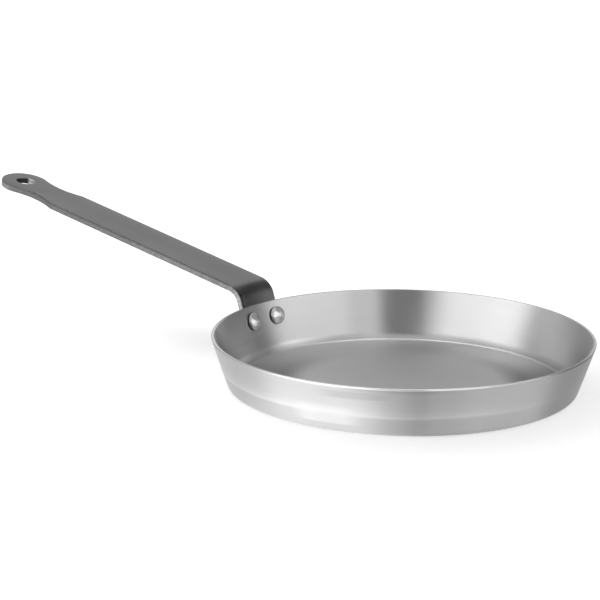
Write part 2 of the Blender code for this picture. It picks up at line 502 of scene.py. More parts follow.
def edge_wear_group() -> bpy.types.NodeTree:
    """Where the surface is rubbed bright: its rubbed value, broken up by noise down to Least.

    Returns:
        The group.
    """
    inputs = {"Rubbed": 0.0, "Amount": 0.5, "Scale": 300.0, "Least": 0.25}
    graph, given, result = new_group("edge_wear", inputs, ("Wear",))
    place, scale = given.outputs["Vector"], given.outputs["Scale"]
    broken = graph.noise(place, scale, detail=3.0, roughness=0.65)
    share = graph.between(broken, *BREAKS, given.outputs["Least"], 1.0)
    rubbed = graph.math("MULTIPLY", given.outputs["Rubbed"], share)
    worn_and_sheen = graph.math("MULTIPLY", rubbed, given.outputs["Amount"], clamp=True)
    graph.put(result.inputs["Wear"], worn_and_sheen)
    return graph.tree


@dataclass
class Effects:
    """The node groups that several finishes share, each built once."""

    brushing: bpy.types.NodeTree = field(default_factory=turned_brushing_group)
    clouding: bpy.types.NodeTree = field(default_factory=clouding_group)
    grain: bpy.types.NodeTree = field(default_factory=fine_grain_group)
    wear_and_highlight: bpy.types.NodeTree = field(default_factory=edge_wear_group)

    def place(
        self, graph: Graph, effect: bpy.types.NodeTree, vector: Socket, **values: Any
    ) -> Node:
        """A copy of an effect in a material, with its own values.

        Args:
            graph: The material's graph.
            effect: The node group.
            vector: Where the effect is read.
            values: Its inputs by name.

        Returns:
            The group node.
        """
        made = graph.node("ShaderNodeGroup", node_tree=effect)
        graph.put(made.inputs["Vector"], vector)
        for key, value in values.items():
            graph.put(made.inputs[key], value)
        return made


# Finishes


def grey(value: float) -> tuple[float, float, float, float]:
    """A neutral linear colour."""
    return (value, value, value, 1.0)


def new_metal(name: str) -> tuple[bpy.types.Material, Graph, Node, Socket]:
    """A material with a metal's Principled shader and Object coordinates.

    Args:
        name: The material's name.

    Returns:
        The material, its graph, its shader and the coordinates' socket.
    """
    material = bpy.data.materials.new(name)
    material.use_nodes = True
    graph = Graph(material.node_tree)
    shader = material.node_tree.nodes["Principled BSDF"]
    shader.inputs["Metallic"].default_value = 1.0
    place = graph.node("ShaderNodeTexCoord").outputs["Object"]
    return material, graph, shader, place


def bump(graph: Graph, shader: Node, height: Socket, distance: float, strength: float) -> None:
    """Puts a height into the shader's normal.

    Args:
        graph: The graph that takes the node.
        shader: The shader.
        height: The height, 0 to 1.
        distance: What a height of 1 stands for, in metres.
        strength: How far the normal follows it.
    """
    made = graph.node("ShaderNodeBump")
    made.inputs["Strength"].default_value = strength
    made.inputs["Distance"].default_value = distance
    graph.put(made.inputs["Height"], height)
    graph.put(shader.inputs["Normal"], made.outputs["Normal"])


@dataclass(frozen=True)
class BrushedSteel:
    """Bare steel with fine lines round the pan, a satin sheen and faint handling marks.

    Its colour also takes painted light: painted highlights and shade from the painted-light
    mark, and a painted highlight over the rubbed rim edges.
    """

    name: str = "brushed_pan_steel"
    dark: float = 0.55
    light: float = 0.59
    worn_and_sheen: float = 0.90
    painted_gain: float = 0.26
    floor_share: float = 1.15
    roughness: float = 0.38
    floor_roughness: float = 0.45
    rough_spread: float = 0.02
    worn_smoothing: float = -0.08
    stretch: float = 1.0
    lines_in_tone: float = 0.40
    cloud_in_tone: float = 0.48
    bands_in_tone: float = 0.12
    tones: Pair = (0.36, 0.64)
    line_range: Pair = (0.25, 0.75)
    cloud_range: Pair = (0.2, 0.8)
    line_height: float = 0.000003
    line_strength: float = 0.5

    def build(self, effects: Effects) -> bpy.types.Material:
        """The material: lines and clouding vary its colour and roughness, lines give its bump.

        Args:
            effects: The shared node groups.

        Returns:
            The new material.
        """
        material, graph, shader, place = new_metal(self.name)
        brushing = effects.place(
            graph, effects.brushing, place, Run=2.2, Fine=2400.0, Coarse=330.0
        ).outputs
        cloud = effects.place(graph, effects.clouding, place, Scale=16.0, Contrast=1.3)
        cloud = cloud.outputs["Cloud"]
        # On the pan the rubbed mark lies on the rim's edges, full on the side towards the camera:
        # edge wear with a painted highlight, lightening towards a pale grey.
        worn_and_sheen = {"Amount": 0.8, "Scale": 120.0, "Least": 0.6}
        wear_and_highlight = effects.place(graph, effects.wear_and_highlight, place, Rubbed=graph.mark(RUBBED), **worn_and_sheen)
        wear_and_highlight = wear_and_highlight.outputs["Wear"]
        lines, floor = brushing["Lines"], graph.mark(SHADED)
        tone = graph.math("MULTIPLY", cloud, self.cloud_in_tone)
        tone = graph.math("MULTIPLY_ADD", lines, self.lines_in_tone, tone)
        tone = graph.math("MULTIPLY_ADD", brushing["Bands"], self.bands_in_tone, tone)
        colour = graph.blend(graph.between(tone, *self.tones), grey(self.dark), grey(self.light))
        colour = graph.product(colour, graph.blend(floor, grey(1.0), grey(self.floor_share)))
        # Painted highlight and shade: the colour is multiplied by 1 + gain * the painted-light mark
        painted_light = graph.math("MULTIPLY_ADD", graph.mark(PAINTED_LIGHT), self.painted_gain, 1.0)
        colour = graph.blend(wear_and_highlight, graph.product(colour, painted_light), grey(self.worn_and_sheen))
        graph.put(shader.inputs["Base Color"], colour)
        spread = (-self.rough_spread, self.rough_spread)
        rough = graph.between(lines, *self.line_range, *spread)
        rough = graph.math("ADD", rough, graph.between(cloud, *self.cloud_range, *spread))
        mean = graph.between(floor, 0.0, 1.0, self.roughness, self.floor_roughness)
        rough = graph.math("ADD", rough, mean)
        rough = graph.math("MULTIPLY_ADD", wear_and_highlight, self.worn_smoothing, rough)
        graph.put(shader.inputs["Roughness"], rough)
        shader.inputs["Anisotropic"].default_value = self.stretch
        tangent = graph.node("ShaderNodeTangent", direction_type="UV_MAP", uv_map=UV_NAME)
        graph.put(shader.inputs["Tangent"], tangent.outputs["Tangent"])
        bump(graph, shader, lines, self.line_height, self.line_strength)
        return material


@dataclass(frozen=True)
class BlackenedSteel:
    """The handle's finish: blackened steel with a fine matt grain and paler sheared edges.

    Its colour also takes painted shade along the top edges and in the hole's bore, and painted
    highlights and shade from the painted-light mark.
    """

    name: str = "blackened_handle_steel"
    dark: float = 0.130
    # Paler sheared edges, and the painted highlight on one side of the hole's wall.
    light: float = 0.160
    bare_and_highlight: float = 0.46
    painted_shade_colour: float = 0.035
    # Colour of the painted shade along the top edges and in the hole's bore.
    roughness: float = 0.36
    rough_spread: float = 0.02
    grain_in_tone: float = 0.5
    tones: Pair = (0.38, 0.62)
    cloud_range: Pair = (0.2, 0.8)
    peak_roughening: float = 0.05
    worn_roughening: float = 0.12
    grain_height: float = 0.00002
    grain_strength: float = 0.25

    def build(self, effects: Effects) -> bpy.types.Material:
        """The material: grain and clouding vary colour and roughness, wear lightens the edges,
        and the marks add painted shade and painted highlights.

        Args:
            effects: The shared node groups.

        Returns:
            The new material.
        """
        material, graph, shader, place = new_metal(self.name)
        grain = effects.place(graph, effects.grain, place, Scale=1500.0).outputs
        cloud = effects.place(graph, effects.clouding, place, Scale=30.0, Contrast=1.2)
        cloud = cloud.outputs["Cloud"]
        wear_and_highlight = effects.place(
            graph, effects.wear_and_highlight, place, Rubbed=graph.mark(RUBBED), Amount=0.8, Scale=900.0
        ).outputs["Wear"]
        tone = graph.math("MULTIPLY", cloud, 1 - self.grain_in_tone)
        tone = graph.math("MULTIPLY_ADD", grain["Grain"], self.grain_in_tone, tone)
        colour = graph.blend(graph.between(tone, *self.tones), grey(self.dark), grey(self.light))
        colour = graph.blend(wear_and_highlight, colour, grey(self.bare_and_highlight))
        # Painted shade: the shaded mark darkens a line along the top edges and the hole's bore.
        colour = graph.blend(graph.mark(SHADED), colour, grey(self.painted_shade_colour))
        # Painted highlight and shade: the colour is multiplied by 1 + the painted-light mark.
        colour = graph.product(colour, graph.math("ADD", graph.mark(PAINTED_LIGHT), 1.0))
        graph.put(shader.inputs["Base Color"], colour)
        low, high = self.roughness - self.rough_spread, self.roughness + self.rough_spread
        rough = graph.between(cloud, *self.cloud_range, low, high)
        rough = graph.math("MULTIPLY_ADD", grain["Peaks"], self.peak_roughening, rough)
        rough = graph.math("MULTIPLY_ADD", wear_and_highlight, self.worn_roughening, rough)
        graph.put(shader.inputs["Roughness"], rough)
        bump(graph, shader, grain["Grain"], self.grain_height, self.grain_strength)
        return material


@dataclass(frozen=True)
class UpsetSteel:
    """Bright rivet steel with small hammer marks, scratches and painted shade round its foot."""

    name: str = "bright_rivet_steel"
    dark: float = 0.48
    light: float = 0.58
    # Colour of the painted shade round each head's foot.
    foot_shade_colour: float = 0.22
    tones: Pair = (0.3, 0.7)
    scratch_range: Pair = (0.3, 0.7)
    roughness: float = 0.38
    smoothest: float = -0.05
    roughest: float = 0.08
    foot_roughening: float = 0.2
    scratch_share: float = 0.06
    dent_height: float = 0.00010
    dent_strength: float = 0.5

    def build(self, effects: Effects) -> bpy.types.Material:
        """The material: small clouding tints and dents it, and grain scratches it.

        Args:
            effects: The shared node groups.

        Returns:
            The new material.
        """
        material, graph, shader, place = new_metal(self.name)
        dents = effects.place(graph, effects.clouding, place, Scale=420.0, Contrast=1.6)
        dents = dents.outputs["Cloud"]
        grain = effects.place(graph, effects.grain, place, Scale=3800.0).outputs["Grain"]
        colour = graph.blend(graph.between(dents, *self.tones), grey(self.dark), grey(self.light))
        # Painted shade: each head darkens towards its foot.
        colour = graph.blend(graph.mark(SHADED), colour, grey(self.foot_shade_colour))
        graph.put(shader.inputs["Base Color"], colour)
        low, high = self.roughness + self.smoothest, self.roughness + self.roughest
        rough = graph.between(grain, *self.scratch_range, low, high)
        rough = graph.math("MULTIPLY_ADD", graph.mark(SHADED), self.foot_roughening, rough)
        graph.put(shader.inputs["Roughness"], rough)
        height = graph.math("MULTIPLY_ADD", grain, self.scratch_share, dents)
        bump(graph, shader, height, self.dent_height, self.dent_strength)
        return material


# The pan body


@dataclass(frozen=True)
class PaintedSpot:
    """A painted highlight on a spot of the outer wall, or painted shade where level is below 0."""

    place: Sector
    low: float
    high: float
    level: float
    soft: float = 0.0012

    def share(self, height: Array, turn: Array) -> Array:
        """Its level, which fades by smooth steps of height and of the angle round the axis."""
        band = smooth((height - self.low) / self.soft) * smooth((self.high - height) / self.soft)
        return self.level * band * self.place.share(turn)


@dataclass
class PanBody:
    """One sheet of steel pressed into a flat floor, a rounded corner and a flared wall.

    Fields that end in reach or turns and in marks are tables: a distance along the section from
    the foot of the inner wall, or an azimuth in degrees, and how much painted light lies there
    (painted shade below 0).
    The rim stays within the frame's box by the length inside.
    """

    sheet: float = 0.0020
    inside: float = 0.00001
    wall_lean: float = math.radians(18.8)
    floor_corner: float = 0.0025
    inner_fillet: float = 0.0055
    rim_edge: float = 0.0005
    turn_steps: int = 360
    under_rows: int = 22
    corner_rows: int = 14
    outer_rows: int = 58
    outer_edge_rows: int = 6
    top_rows: int = 3
    inner_edge_rows: int = 5
    inner_rows: int = 36
    fillet_rows: int = 22
    groove_rows: int = 13
    floor_rows: int = 26
    crease_height: float = 0.0132
    crease_depth: float = 0.00016
    crease_round: float = 0.0016
    ridge_depth: float = 0.00014
    ridge_width: float = 0.0011
    crease: Sector = Sector(-108, 62, 48)
    crease_least: float = 0.18
    # Painted highlight along the crease's crest: a long rise above its line, a short fall below.
    crest_rise: float = 0.0040
    crest_fall: float = 0.0012
    # Painted shade in a band just under the rim, on one side of the pan.
    dip_top: float = 0.0006
    dip_foot: float = 0.0045
    dip_depth: float = 0.8
    dip: Sector = Sector(-55, 9, 10)
    # Painted highlights on spots of the outer wall, and painted shade where a level is below 0.
    painted_spots: tuple[PaintedSpot, ...] = (
        PaintedSpot(Sector(-75.5, 5), 0.0055, 0.0130, 0.8),
        PaintedSpot(Sector(-76.0, 5), 0.0125, 0.0185, 0.35, soft=0.0020),
        PaintedSpot(Sector(-65.7, 5), 0.0235, 0.0292, -0.6),
        PaintedSpot(Sector(-77.0, 6), 0.0304, 0.0340, 1.0, soft=0.0006),
    )
    # The deepest painted shade that the inside takes.
    deepest_shade: float = -2.5
    # Painted light at the inner corner: painted shade up the fillet, a painted highlight line at
    # its foot, and a painted glow fading across the floor.
    foot_reach: Table = (-0.0070, -0.0050, -0.0016, -0.0008, 0.0012, 0.003, 0.015, 0.035, 0.08)
    foot_marks: Table = (0.0, -0.5, -0.5, 1.7, 1.7, 1.3, 1.1, 0.6, 0.0)
    groove_reach: float = 0.0006
    groove_width: float = 0.0008
    groove_depth: float = 0.00055
    groove_span: float = 4.0
    groove_least: float = 0.10
    groove_faint: Sector = Sector(-155, 30, 27)
    # Painted highlight on the fillet, added where the floor's groove is faint.
    fillet_reach: Table = (-0.0070, -0.0050, -0.0016, -0.0004)
    fillet_marks: Table = (0.0, 2.6, 2.6, 0.0)
    # Painted shade on two opposite sides of the floor's outer ring and low on the wall, standing in
    # for the darker reflection of brushed steel there.
    side_shade_azimuth: float = 38.0
    side_shade_depth: float = 2.9
    side_shade_start: float = 0.50
    side_shade_fade: float = 0.15
    side_shade_edge: float = 0.0003
    wall_side_shade: float = 1.5
    # Painted highlight over the rim's rubbed edges: full on the side towards the camera, faint
    # elsewhere.
    rim_highlight: Sector = Sector(-62, 22, 22)
    rim_highlight_least: float = 0.08
    top_rub: float = 0.45
    inner_rub: float = 0.6
    # Painted highlight and painted shade along the rim's edges, by azimuth.
    rim_turns: Table = (-80.0, -60.0, -35.0, -24.0, -5.0, 15.0, 40.0, 60.0)
    rim_marks: Table = (0.0, 1.6, 1.6, 0.0, -0.5, -1.6, -1.2, 0.0)
    wave_depth: float = 0.00004
    wall_waves: tuple[Wave, ...] = ((1.0, 3, 0.7), (0.6, 7, 2.1), (0.35, 13, 4.0))
    wave_start: float = 0.82
    wave_blend: float = 0.08
    rim_hold: float = 0.35
    foot_hold: float = 0.30
    floor_wave: float = 0.00010
    floor_mean: float = 0.5
    floor_swing: float = 0.25
    floor_rings: float = 9.5
    floor_waves: tuple[Wave, ...] = ((1.0, 2, 1.1), (0.6, 1, -0.6))
    floor_edge: float = 0.84
    floor_blend: float = 0.25

    def __post_init__(self) -> None:
        """Takes the rim's radius and height from the frame, and works out the wall's place."""
        low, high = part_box("pan_body")
        self.rim_radius = (high[1] - low[1]) / 2 - self.inside
        self.height = high[2]
        lean = self.wall_lean
        slack = self.rim_edge * ((1 + math.sin(lean)) / math.cos(lean) - 1)
        self.wall_top = self.rim_radius + slack
        self.side_through = self.sheet / math.cos(lean)

    def profile(self) -> tuple[Array, Array, Array]:
        """The section: underside middle, round corner, wall, rim, wall, round corner, floor middle.

        The wall is a straight line at the lean, each corner and each rim edge an arc tangent to
        its neighbours. The number of rows in a run rises where the surface turns or waves.

        Returns:
            Points as (radius, height), how far each is rubbed, and how far each is shaded.
        """
        lean, edge = self.wall_lean, self.rim_edge
        corner, fillet = self.floor_corner, self.inner_fillet
        half_open = math.tan((math.pi / 2 - lean) / 2)
        inner_top = self.wall_top - self.side_through
        inner_foot = inner_top - (self.height - self.sheet) * math.tan(lean)
        middle = (inner_foot - corner * half_open, self.sheet + corner)
        fillet_middle = (inner_foot - fillet * half_open, self.sheet + fillet)
        rim_outer = (self.rim_radius - edge, self.height - edge)
        rim_inner = (inner_top + edge * half_open, self.height - edge)
        right = math.pi / 2
        outer_corner = arc(middle, corner + self.sheet, -right, -lean, self.corner_rows)
        outer_edge = arc(rim_outer, edge, -lean, right, self.outer_edge_rows)
        inner_edge = arc(rim_inner, edge, right, math.pi - lean, self.inner_edge_rows)
        inner_corner = arc(fillet_middle, fillet, -lean, -right, self.fillet_rows)
        groove_end = inner_corner[-1] - [self.groove_span * self.groove_width, 0.0]
        axis_low, axis_high = np.array([0.0, 0.0]), np.array([0.0, self.sheet])
        runs = [
            (axis_low[None], 0.0, 1.0),
            (straight(axis_low, outer_corner[0], self.under_rows), 0.0, 1.0),
            (outer_corner, 0.0, 0.0),
            (straight(outer_corner[-1], outer_edge[0], self.outer_rows), 0.0, 0.0),
            (outer_edge, 1.0, 0.0),
            (straight(outer_edge[-1], inner_edge[0], self.top_rows), self.top_rub, 0.0),
            (inner_edge, self.inner_rub, 0.0),
            (straight(inner_edge[-1], inner_corner[0], self.inner_rows), 0.0, 0.0),
            (inner_corner, 0.0, 0.0),
            (straight(inner_corner[-1], groove_end, self.groove_rows), 0.0, 1.0),
            (straight(groove_end, axis_high, self.floor_rows), 0.0, 1.0),
            (axis_high[None], 0.0, 1.0),
        ]
        rubbed = np.concatenate([np.full(len(points), mark) for points, mark, _ in runs])
        shaded = np.concatenate([np.full(len(points), mark) for points, _, mark in runs])
        return np.concatenate([points for points, _, _ in runs]), rubbed, shaded

    def groove_strength(self, turn: Array) -> Array:
        """How far the floor's groove shows at an angle round the axis, from groove_least to 1."""
        return 1 - (1 - self.groove_least) * self.groove_faint.share(turn)

    def side_shade(self, profile: Array, turn: Array) -> Array:
        """How much painted shade darkens the inside on two opposite sides.

        On the floor's outer ring it goes by the cosine's fourth power, and on the wall by its
        sixteenth.

        Args:
            The painted shade, angles by points.
            turn: Angles round the axis.

        Returns:
            The dullness, angles by points.
        """
        share = profile[None, :, 0] / self.rim_radius
        wall = smooth((profile[None, :, 1] - self.sheet) / self.side_shade_edge)
        side = np.cos(turn - math.radians(self.side_shade_azimuth)) ** 4
        ring = smooth((share - self.side_shade_start) / self.side_shade_fade) * (1 - wall)
        return self.side_shade_depth * ring * side + self.wall_side_shade * wall * side**4

    def outer_painted_light(self, height: Array, turn: Array) -> Array:
        """How much painted light the outer wall takes, painted shade below 0.

        The crease's crest takes a painted highlight with a long rise above its line (a falling
        exponential) and a short fall below (a bell). Under the rim lies a band of painted shade on
        one side, and the painted spots are added.

        Args:
            height: Heights above the base.
            turn: Angles round the axis.

        Returns:
            The polish, angles by points.
        """
        above = height - self.crease_height
        rise, fall = np.exp(-above / self.crest_rise), np.exp(-((above / self.crest_fall) ** 2))
        crest = self.crease.share(turn, self.crease_least) * np.where(above > 0, rise, fall)
        under = self.height - height
        foot = smooth((under - self.dip_top) / (self.dip_foot - self.dip_top))
        dip = smooth(under / self.dip_top) * (1 - foot) * self.dip.share(turn)
        return crest - self.dip_depth * dip + sum(painted_spot.share(height, turn) for painted_spot in self.painted_spots)

    def inner_painted_light(self, profile: Array, reach: Array, turn: Array) -> Array:
        """How much painted light the inside takes: the corner's marks by reach, less the painted
        shade on two sides.

        Where the groove is faint, the fillet's painted highlight is added in its stead.

        Args:
            profile: The section's points.
            reach: Each point's distance along the section past the corner's end.
            turn: Angles round the axis.

        Returns:
            The painted light, angles by points.
        """
        inner = np.interp(reach, self.foot_reach, self.foot_marks) - self.side_shade(profile, turn)
        bright = np.interp(reach, self.fillet_reach, self.fillet_marks)
        return np.maximum(inner + (1 - self.groove_strength(turn)) * bright, self.deepest_shade)

    def shift(self, radius: Array, height: Array, turn: Array) -> tuple[Array, Array]:
        """How far the pressed sheet lies from its ideal form.

        Low on the wall the sheet has a soft crease: it stands out by a rounded tent of the height
        above the base and by a narrow bell-shaped ridge on it, strong on one side of the pan and
        faint on the other. The wall also waves a little round the pan, and the floor a little
        along its radius, as thin pressed sheet does. A wave is size * sin(count * turn + phase).

        Args:
            radius: Distance from the axis.
            height: Height above the base.
            turn: Angle round the axis.

        Returns:
            The shifts of radius and of height.
        """
        rim, top, slack = self.rim_radius, self.height, self.crease_round
        away = np.abs(height - self.crease_height)
        span = np.where(height > self.crease_height, top - self.crease_height, self.crease_height)
        rounded = (np.sqrt(away**2 + slack**2) - slack) / (np.sqrt(span**2 + slack**2) - slack)
        tent = np.clip(1 - rounded, 0.0, 1.0)
        ridge = np.exp(-((away / self.ridge_width) ** 2))
        crease = self.crease_depth * tent + self.ridge_depth * ridge
        crease = crease * self.crease.share(turn, self.crease_least)
        wave = sum(size * np.sin(count * turn + phase) for size, count, phase in self.wall_waves)
        held = smooth((top - height) / (self.rim_hold * top))
        held = held * smooth(height / (self.foot_hold * top))
        on_wall = smooth((radius - self.wave_start * rim) / (self.wave_blend * rim))
        out = on_wall * (crease + self.wave_depth * wave * held)
        share = radius / rim
        swell = sum(size * np.sin(count * turn + phase) for size, count, phase in self.floor_waves)
        ripple = np.cos(self.floor_rings * share) + share * swell
        ripple = self.floor_mean + self.floor_swing * ripple
        return out, self.floor_wave * ripple * smooth((self.floor_edge - share) / self.floor_blend)

    def build(self, material: bpy.types.Material) -> bpy.types.Object:
        """Turns the section about Z: the point (r, z) at angle t lies at (r cos t, r sin t, z).

        Args:
            material: The pan's steel.

        Returns:
            The pan body's piece.
        """
        profile, rubbed, shaded = self.profile()
        turn = np.linspace(0.0, 2 * math.pi, self.turn_steps, endpoint=False)[:, None]
        radius, height = profile[None, :, 0], profile[None, :, 1]
        out, lift = self.shift(radius, height, turn)
        step = np.linalg.norm(np.diff(profile, axis=0), axis=1)
        run = np.concatenate([[0.0], np.cumsum(step)])
        bottom, top = (int(np.flatnonzero(shaded == 0)[end]) for end in (0, -1))
        reach = run - run[top]
        bell = np.exp(-(((reach - self.groove_reach) / self.groove_width) ** 2))
        floor = np.arange(len(run)) >= top
        outer = np.arange(len(run)) < int(np.argmax(rubbed))
        # Painted light: on the outer wall the crest highlight, the shade under the rim and the
        # painted spots; inside, the corner's marks less the side shade.
        outer_marks = np.where(height > 0, self.outer_painted_light(height, turn), 0.0)
        painted_light = np.where(outer, outer_marks, self.inner_painted_light(profile, reach, turn))
        # Painted highlight and painted shade along the rim's edges, by azimuth.
        rim = np.interp(np.degrees(np.angle(np.exp(1j * turn))), self.rim_turns, self.rim_marks)
        painted_light = painted_light + rim * np.greater(rubbed, 0.0)
        groove = self.groove_depth * bell * self.groove_strength(turn)
        radius, height = radius + out, height + np.where(floor, lift, 0.0) - groove
        grid = [radius * np.cos(turn), radius * np.sin(turn), height + 0 * turn]
        grid = np.stack(grid, axis=-1)
        round_uv = np.stack([run[None] + 0 * turn, turn * self.rim_radius + 0 * run[None]], axis=-1)
        # The rim's rubbed edges take a painted highlight, full on the side towards the camera.
        surface, wear_and_highlight = Surface(), self.rim_highlight.share(turn, self.rim_highlight_least)
        for part, uv in (
            (slice(0, bottom + 1), grid[..., :2]),
            (slice(bottom, top + 1), round_uv),
            (slice(top, None), grid[..., :2]),
        ):
            marks = (wear_and_highlight * rubbed[None, part], shaded[None, part], painted_light[:, part])
            surface.add(grid[:, part], uv[:, part], marks, closed=True)
        return add_piece("pressed_pan_body", surface, material, "pan_body")


# The strip handle


@dataclass
class StripHandle:
    """One flat strip: foot on the wall, bend over the rim, long arm, neck, round head with a hole.

    Lengths are in metres, and fields that end in reach and marks are tables of a place, as a
    share of the bend's length or of the half width, and of how much painted light lies there
    (painted shade below 0).
    """

    pan: PanBody
    width: float = 0.0317
    thickness: float = 0.0040
    rise: float = math.radians(10.1)
    length: float = 0.23366
    corner_rise: float = 0.01162
    inside_radius: float = 0.0090
    foot_drop: float = 0.0196
    foot_corner: float = 0.0040
    neck_width: float = 0.0243
    neck_radius: float = 0.050
    head_radius: float = 0.0162
    hole_radius: float = 0.0060
    seat_gap: float = 0.0003
    edge_radius: float = 0.00025
    crown_drop: float = 0.00016
    crown_run: float = 0.0070
    lip_radius: float = 0.00045
    # Strength of the painted shade line along the top edges.
    edge_shade_line: float = 0.40
    lower_edge_rub: float = 0.7
    arm_rub: float = 0.25
    bend_rub: float = 0.58
    head_rub: float = 0.75
    rub_reach: float = 0.8
    rub_most: float = 1.6
    head_start: float = 0.3
    head_fade: float = 0.010
    # The hole's wall: where its painted shade starts, and the side that takes a painted highlight.
    bore_start: float = 0.3
    hole_highlight_side: Pair = (-0.57, 0.82)
    hole_highlight_from: float = 0.38
    hole_highlight_fade: float = 0.30
    # Painted light on the bend: painted shade on its lower part, a little deeper towards the near
    # edge, and a painted highlight towards its end.
    bend_reach: Table = (0.25, 0.44, 0.56, 0.66, 0.74, 0.81, 0.87, 0.93, 1.02)
    bend_marks: Table = (-0.52, -0.28, -0.18, -0.10, 0.10, 0.40, 0.46, 0.18, 0.0)
    bend_slant: float = 0.4
    foot_shine: float = 0.28
    hole_highlight_gain: float = 0.95
    # Painted highlight on the top face towards its near edge, with a line of painted shade at that
    # edge.
    top_light_reach: Table = (-1.0, -0.875, -0.625, 0.0)
    top_light_marks: Table = (-0.4, 0.30, 0.14, 0.0)
    side_rows: int = 4
    edge_steps: int = 5
    columns: int = 16
    corner_rows: int = 6
    foot_rows: int = 9
    bend_rows: int = 25
    arm_rows: int = 44
    neck_rows: int = 22
    head_rows: int = 40
    disc_rows: int = 10
    disc_start: float = 1.35

    def __post_init__(self) -> None:
        """Works out the lengths along the strip's top face."""
        lean = self.pan.wall_lean
        self.bend_radius = self.inside_radius + self.thickness
        self.bend_angle = math.pi / 2 - lean - self.rise
        self.setback = self.bend_radius * math.tan(self.bend_angle / 2)
        self.foot_run = self.foot_drop + self.corner_rise / math.cos(lean) - self.setback
        self.bend_run = self.bend_radius * self.bend_angle
        self.bend_end = self.foot_run + self.bend_run
        self.head_station = self.bend_end + self.length - self.setback - self.head_radius

    def fold(self, station: Array, across: Array, depth: Array) -> Array:
        """Bends the flat strip into its place.

        The section turns through the bend's angle along an arc of the bend's radius, and is
        straight before and after. Across, the foot follows the wall's round, and that curve fades
        out through the bend by a smooth step.

        Args:
            station: Length along the top face from the foot's end.
            across: Distance from the strip's middle.
            depth: Distance below the top face.

        Returns:
            Points in the frame, with the inputs' shape and 3.
        """
        lean, bend = self.pan.wall_lean, self.bend_radius
        sine, cosine = math.sin(lean), math.cos(lean)
        corner_x = self.pan.wall_top + self.seat_gap / cosine + self.corner_rise * math.tan(lean)
        corner_z = self.pan.height + self.corner_rise
        middle_x = corner_x - self.setback * sine + bend * cosine
        middle_z = corner_z - self.setback * cosine - bend * sine
        turned = np.clip((station - self.foot_run) / bend, 0.0, self.bend_angle)
        before = np.minimum(station - self.foot_run, 0.0)
        after = np.maximum(station - self.bend_end, 0.0)
        along = lean + turned
        face = middle_x - bend * np.cos(along) + before * sine + after * np.sin(along)
        height = middle_z + bend * np.sin(along) + before * cosine + after * np.cos(along)
        radius = face + depth * np.cos(along)
        height = height - depth * np.sin(along)
        curved = np.maximum(smooth(1 - turned / self.bend_angle), FLAT)
        turn = curved * across / face
        swing = face / curved + radius - face
        sag = 2 * swing * np.sin(turn / 2) ** 2
        return np.stack([-(radius - sag), swing * np.sin(turn), height + 0 * across], axis=-1)

    def side(self) -> tuple[Array, int]:
        """One edge of the flat strip, from the foot's corner to the tip.

        It is an arc at the foot's corner, a straight edge, a concave arc at the neck and a convex
        one round the head, the last two tangent to each other.

        Returns:
            Rows of (station, across, normal along, normal across), and the row where the head's
            patch begins.
        """
        half, corner = self.width / 2, self.foot_corner
        foot = arc((corner, half - corner), corner, math.pi, math.pi / 2, self.corner_rows)
        foot_normal = (foot - [corner, half - corner]) / corner
        neck_y = self.neck_width / 2 + self.neck_radius
        apart = self.head_radius + self.neck_radius
        neck_x = self.head_station - math.sqrt(apart**2 - neck_y**2)
        neck_start = -math.pi + math.asin((neck_y - half) / self.neck_radius)
        neck_end = math.atan2(-neck_y, self.head_station - neck_x)
        neck = arc((neck_x, neck_y), self.neck_radius, neck_start, neck_end, self.neck_rows)
        neck_normal = (np.array([neck_x, neck_y]) - neck) / self.neck_radius
        neck_normal[0] = (neck_normal[0, 0] / (1 + neck_normal[0, 1]), 1.0)
        on_foot = np.linspace(corner, self.foot_run, self.foot_rows)[1:-1]
        on_bend = np.linspace(self.foot_run, self.bend_end, self.bend_rows)
        on_arm = np.linspace(self.bend_end, neck[0, 0], self.arm_rows)[1:-1]
        stations = np.concatenate([on_foot, on_bend, on_arm])
        edge = np.stack([stations, np.full_like(stations, half)], axis=1)
        edge_normal = np.stack([np.zeros_like(stations), np.ones_like(stations)], axis=1)
        middle = (self.head_station, 0.0)
        head = arc(middle, self.head_radius, math.pi + neck_end, 0.0, self.head_rows)[1:]
        head_normal = (head - middle) / self.head_radius
        points = np.concatenate([foot, edge, neck, head])
        normals = np.concatenate([foot_normal, edge_normal, neck_normal, head_normal])
        points[-1, 1] = 0.0
        disc = self.head_station - self.disc_start * self.head_radius
        patch = int(np.argmin(np.abs(points[:, 0] - disc)))
        return np.concatenate([points, normals], axis=1), patch

    def sheared_side(self, radius: float) -> tuple[Array, Array, Array, Array]:
        """A side wall's section: a rounded top edge, a straight sheared face, a rounded lower edge.

        The rounded edges are quarter arcs. A line of painted shade runs where the top one meets
        the face.

        Args:
            radius: The radius of its rounded edges.

        Returns:
            How far each point lies inside the outline and below the top face, how far it is
            rubbed, and how far it is shaded.
        """
        a = np.linspace(0.0, math.pi / 2, self.edge_steps + 1)
        inset, depth = radius * (1 - np.sin(a)), radius * (1 - np.cos(a))
        face = np.linspace(depth[-1], self.thickness - depth[-1], self.side_rows + 2)[1:-1]
        insets = np.concatenate([inset, 0 * face, inset[::-1]])
        depths = np.concatenate([depth, face, self.thickness - depth[::-1]])
        rubbed = np.concatenate([0 * a, 0 * face + 1.0, 0 * a + self.lower_edge_rub])
        # Painted shade along the top edge's rounding.
        shaded = np.concatenate([self.edge_shade_line * smooth(a), 0 * face, 0 * a])
        rubbed[-1] = 0.0
        return insets, depths, rubbed, shaded

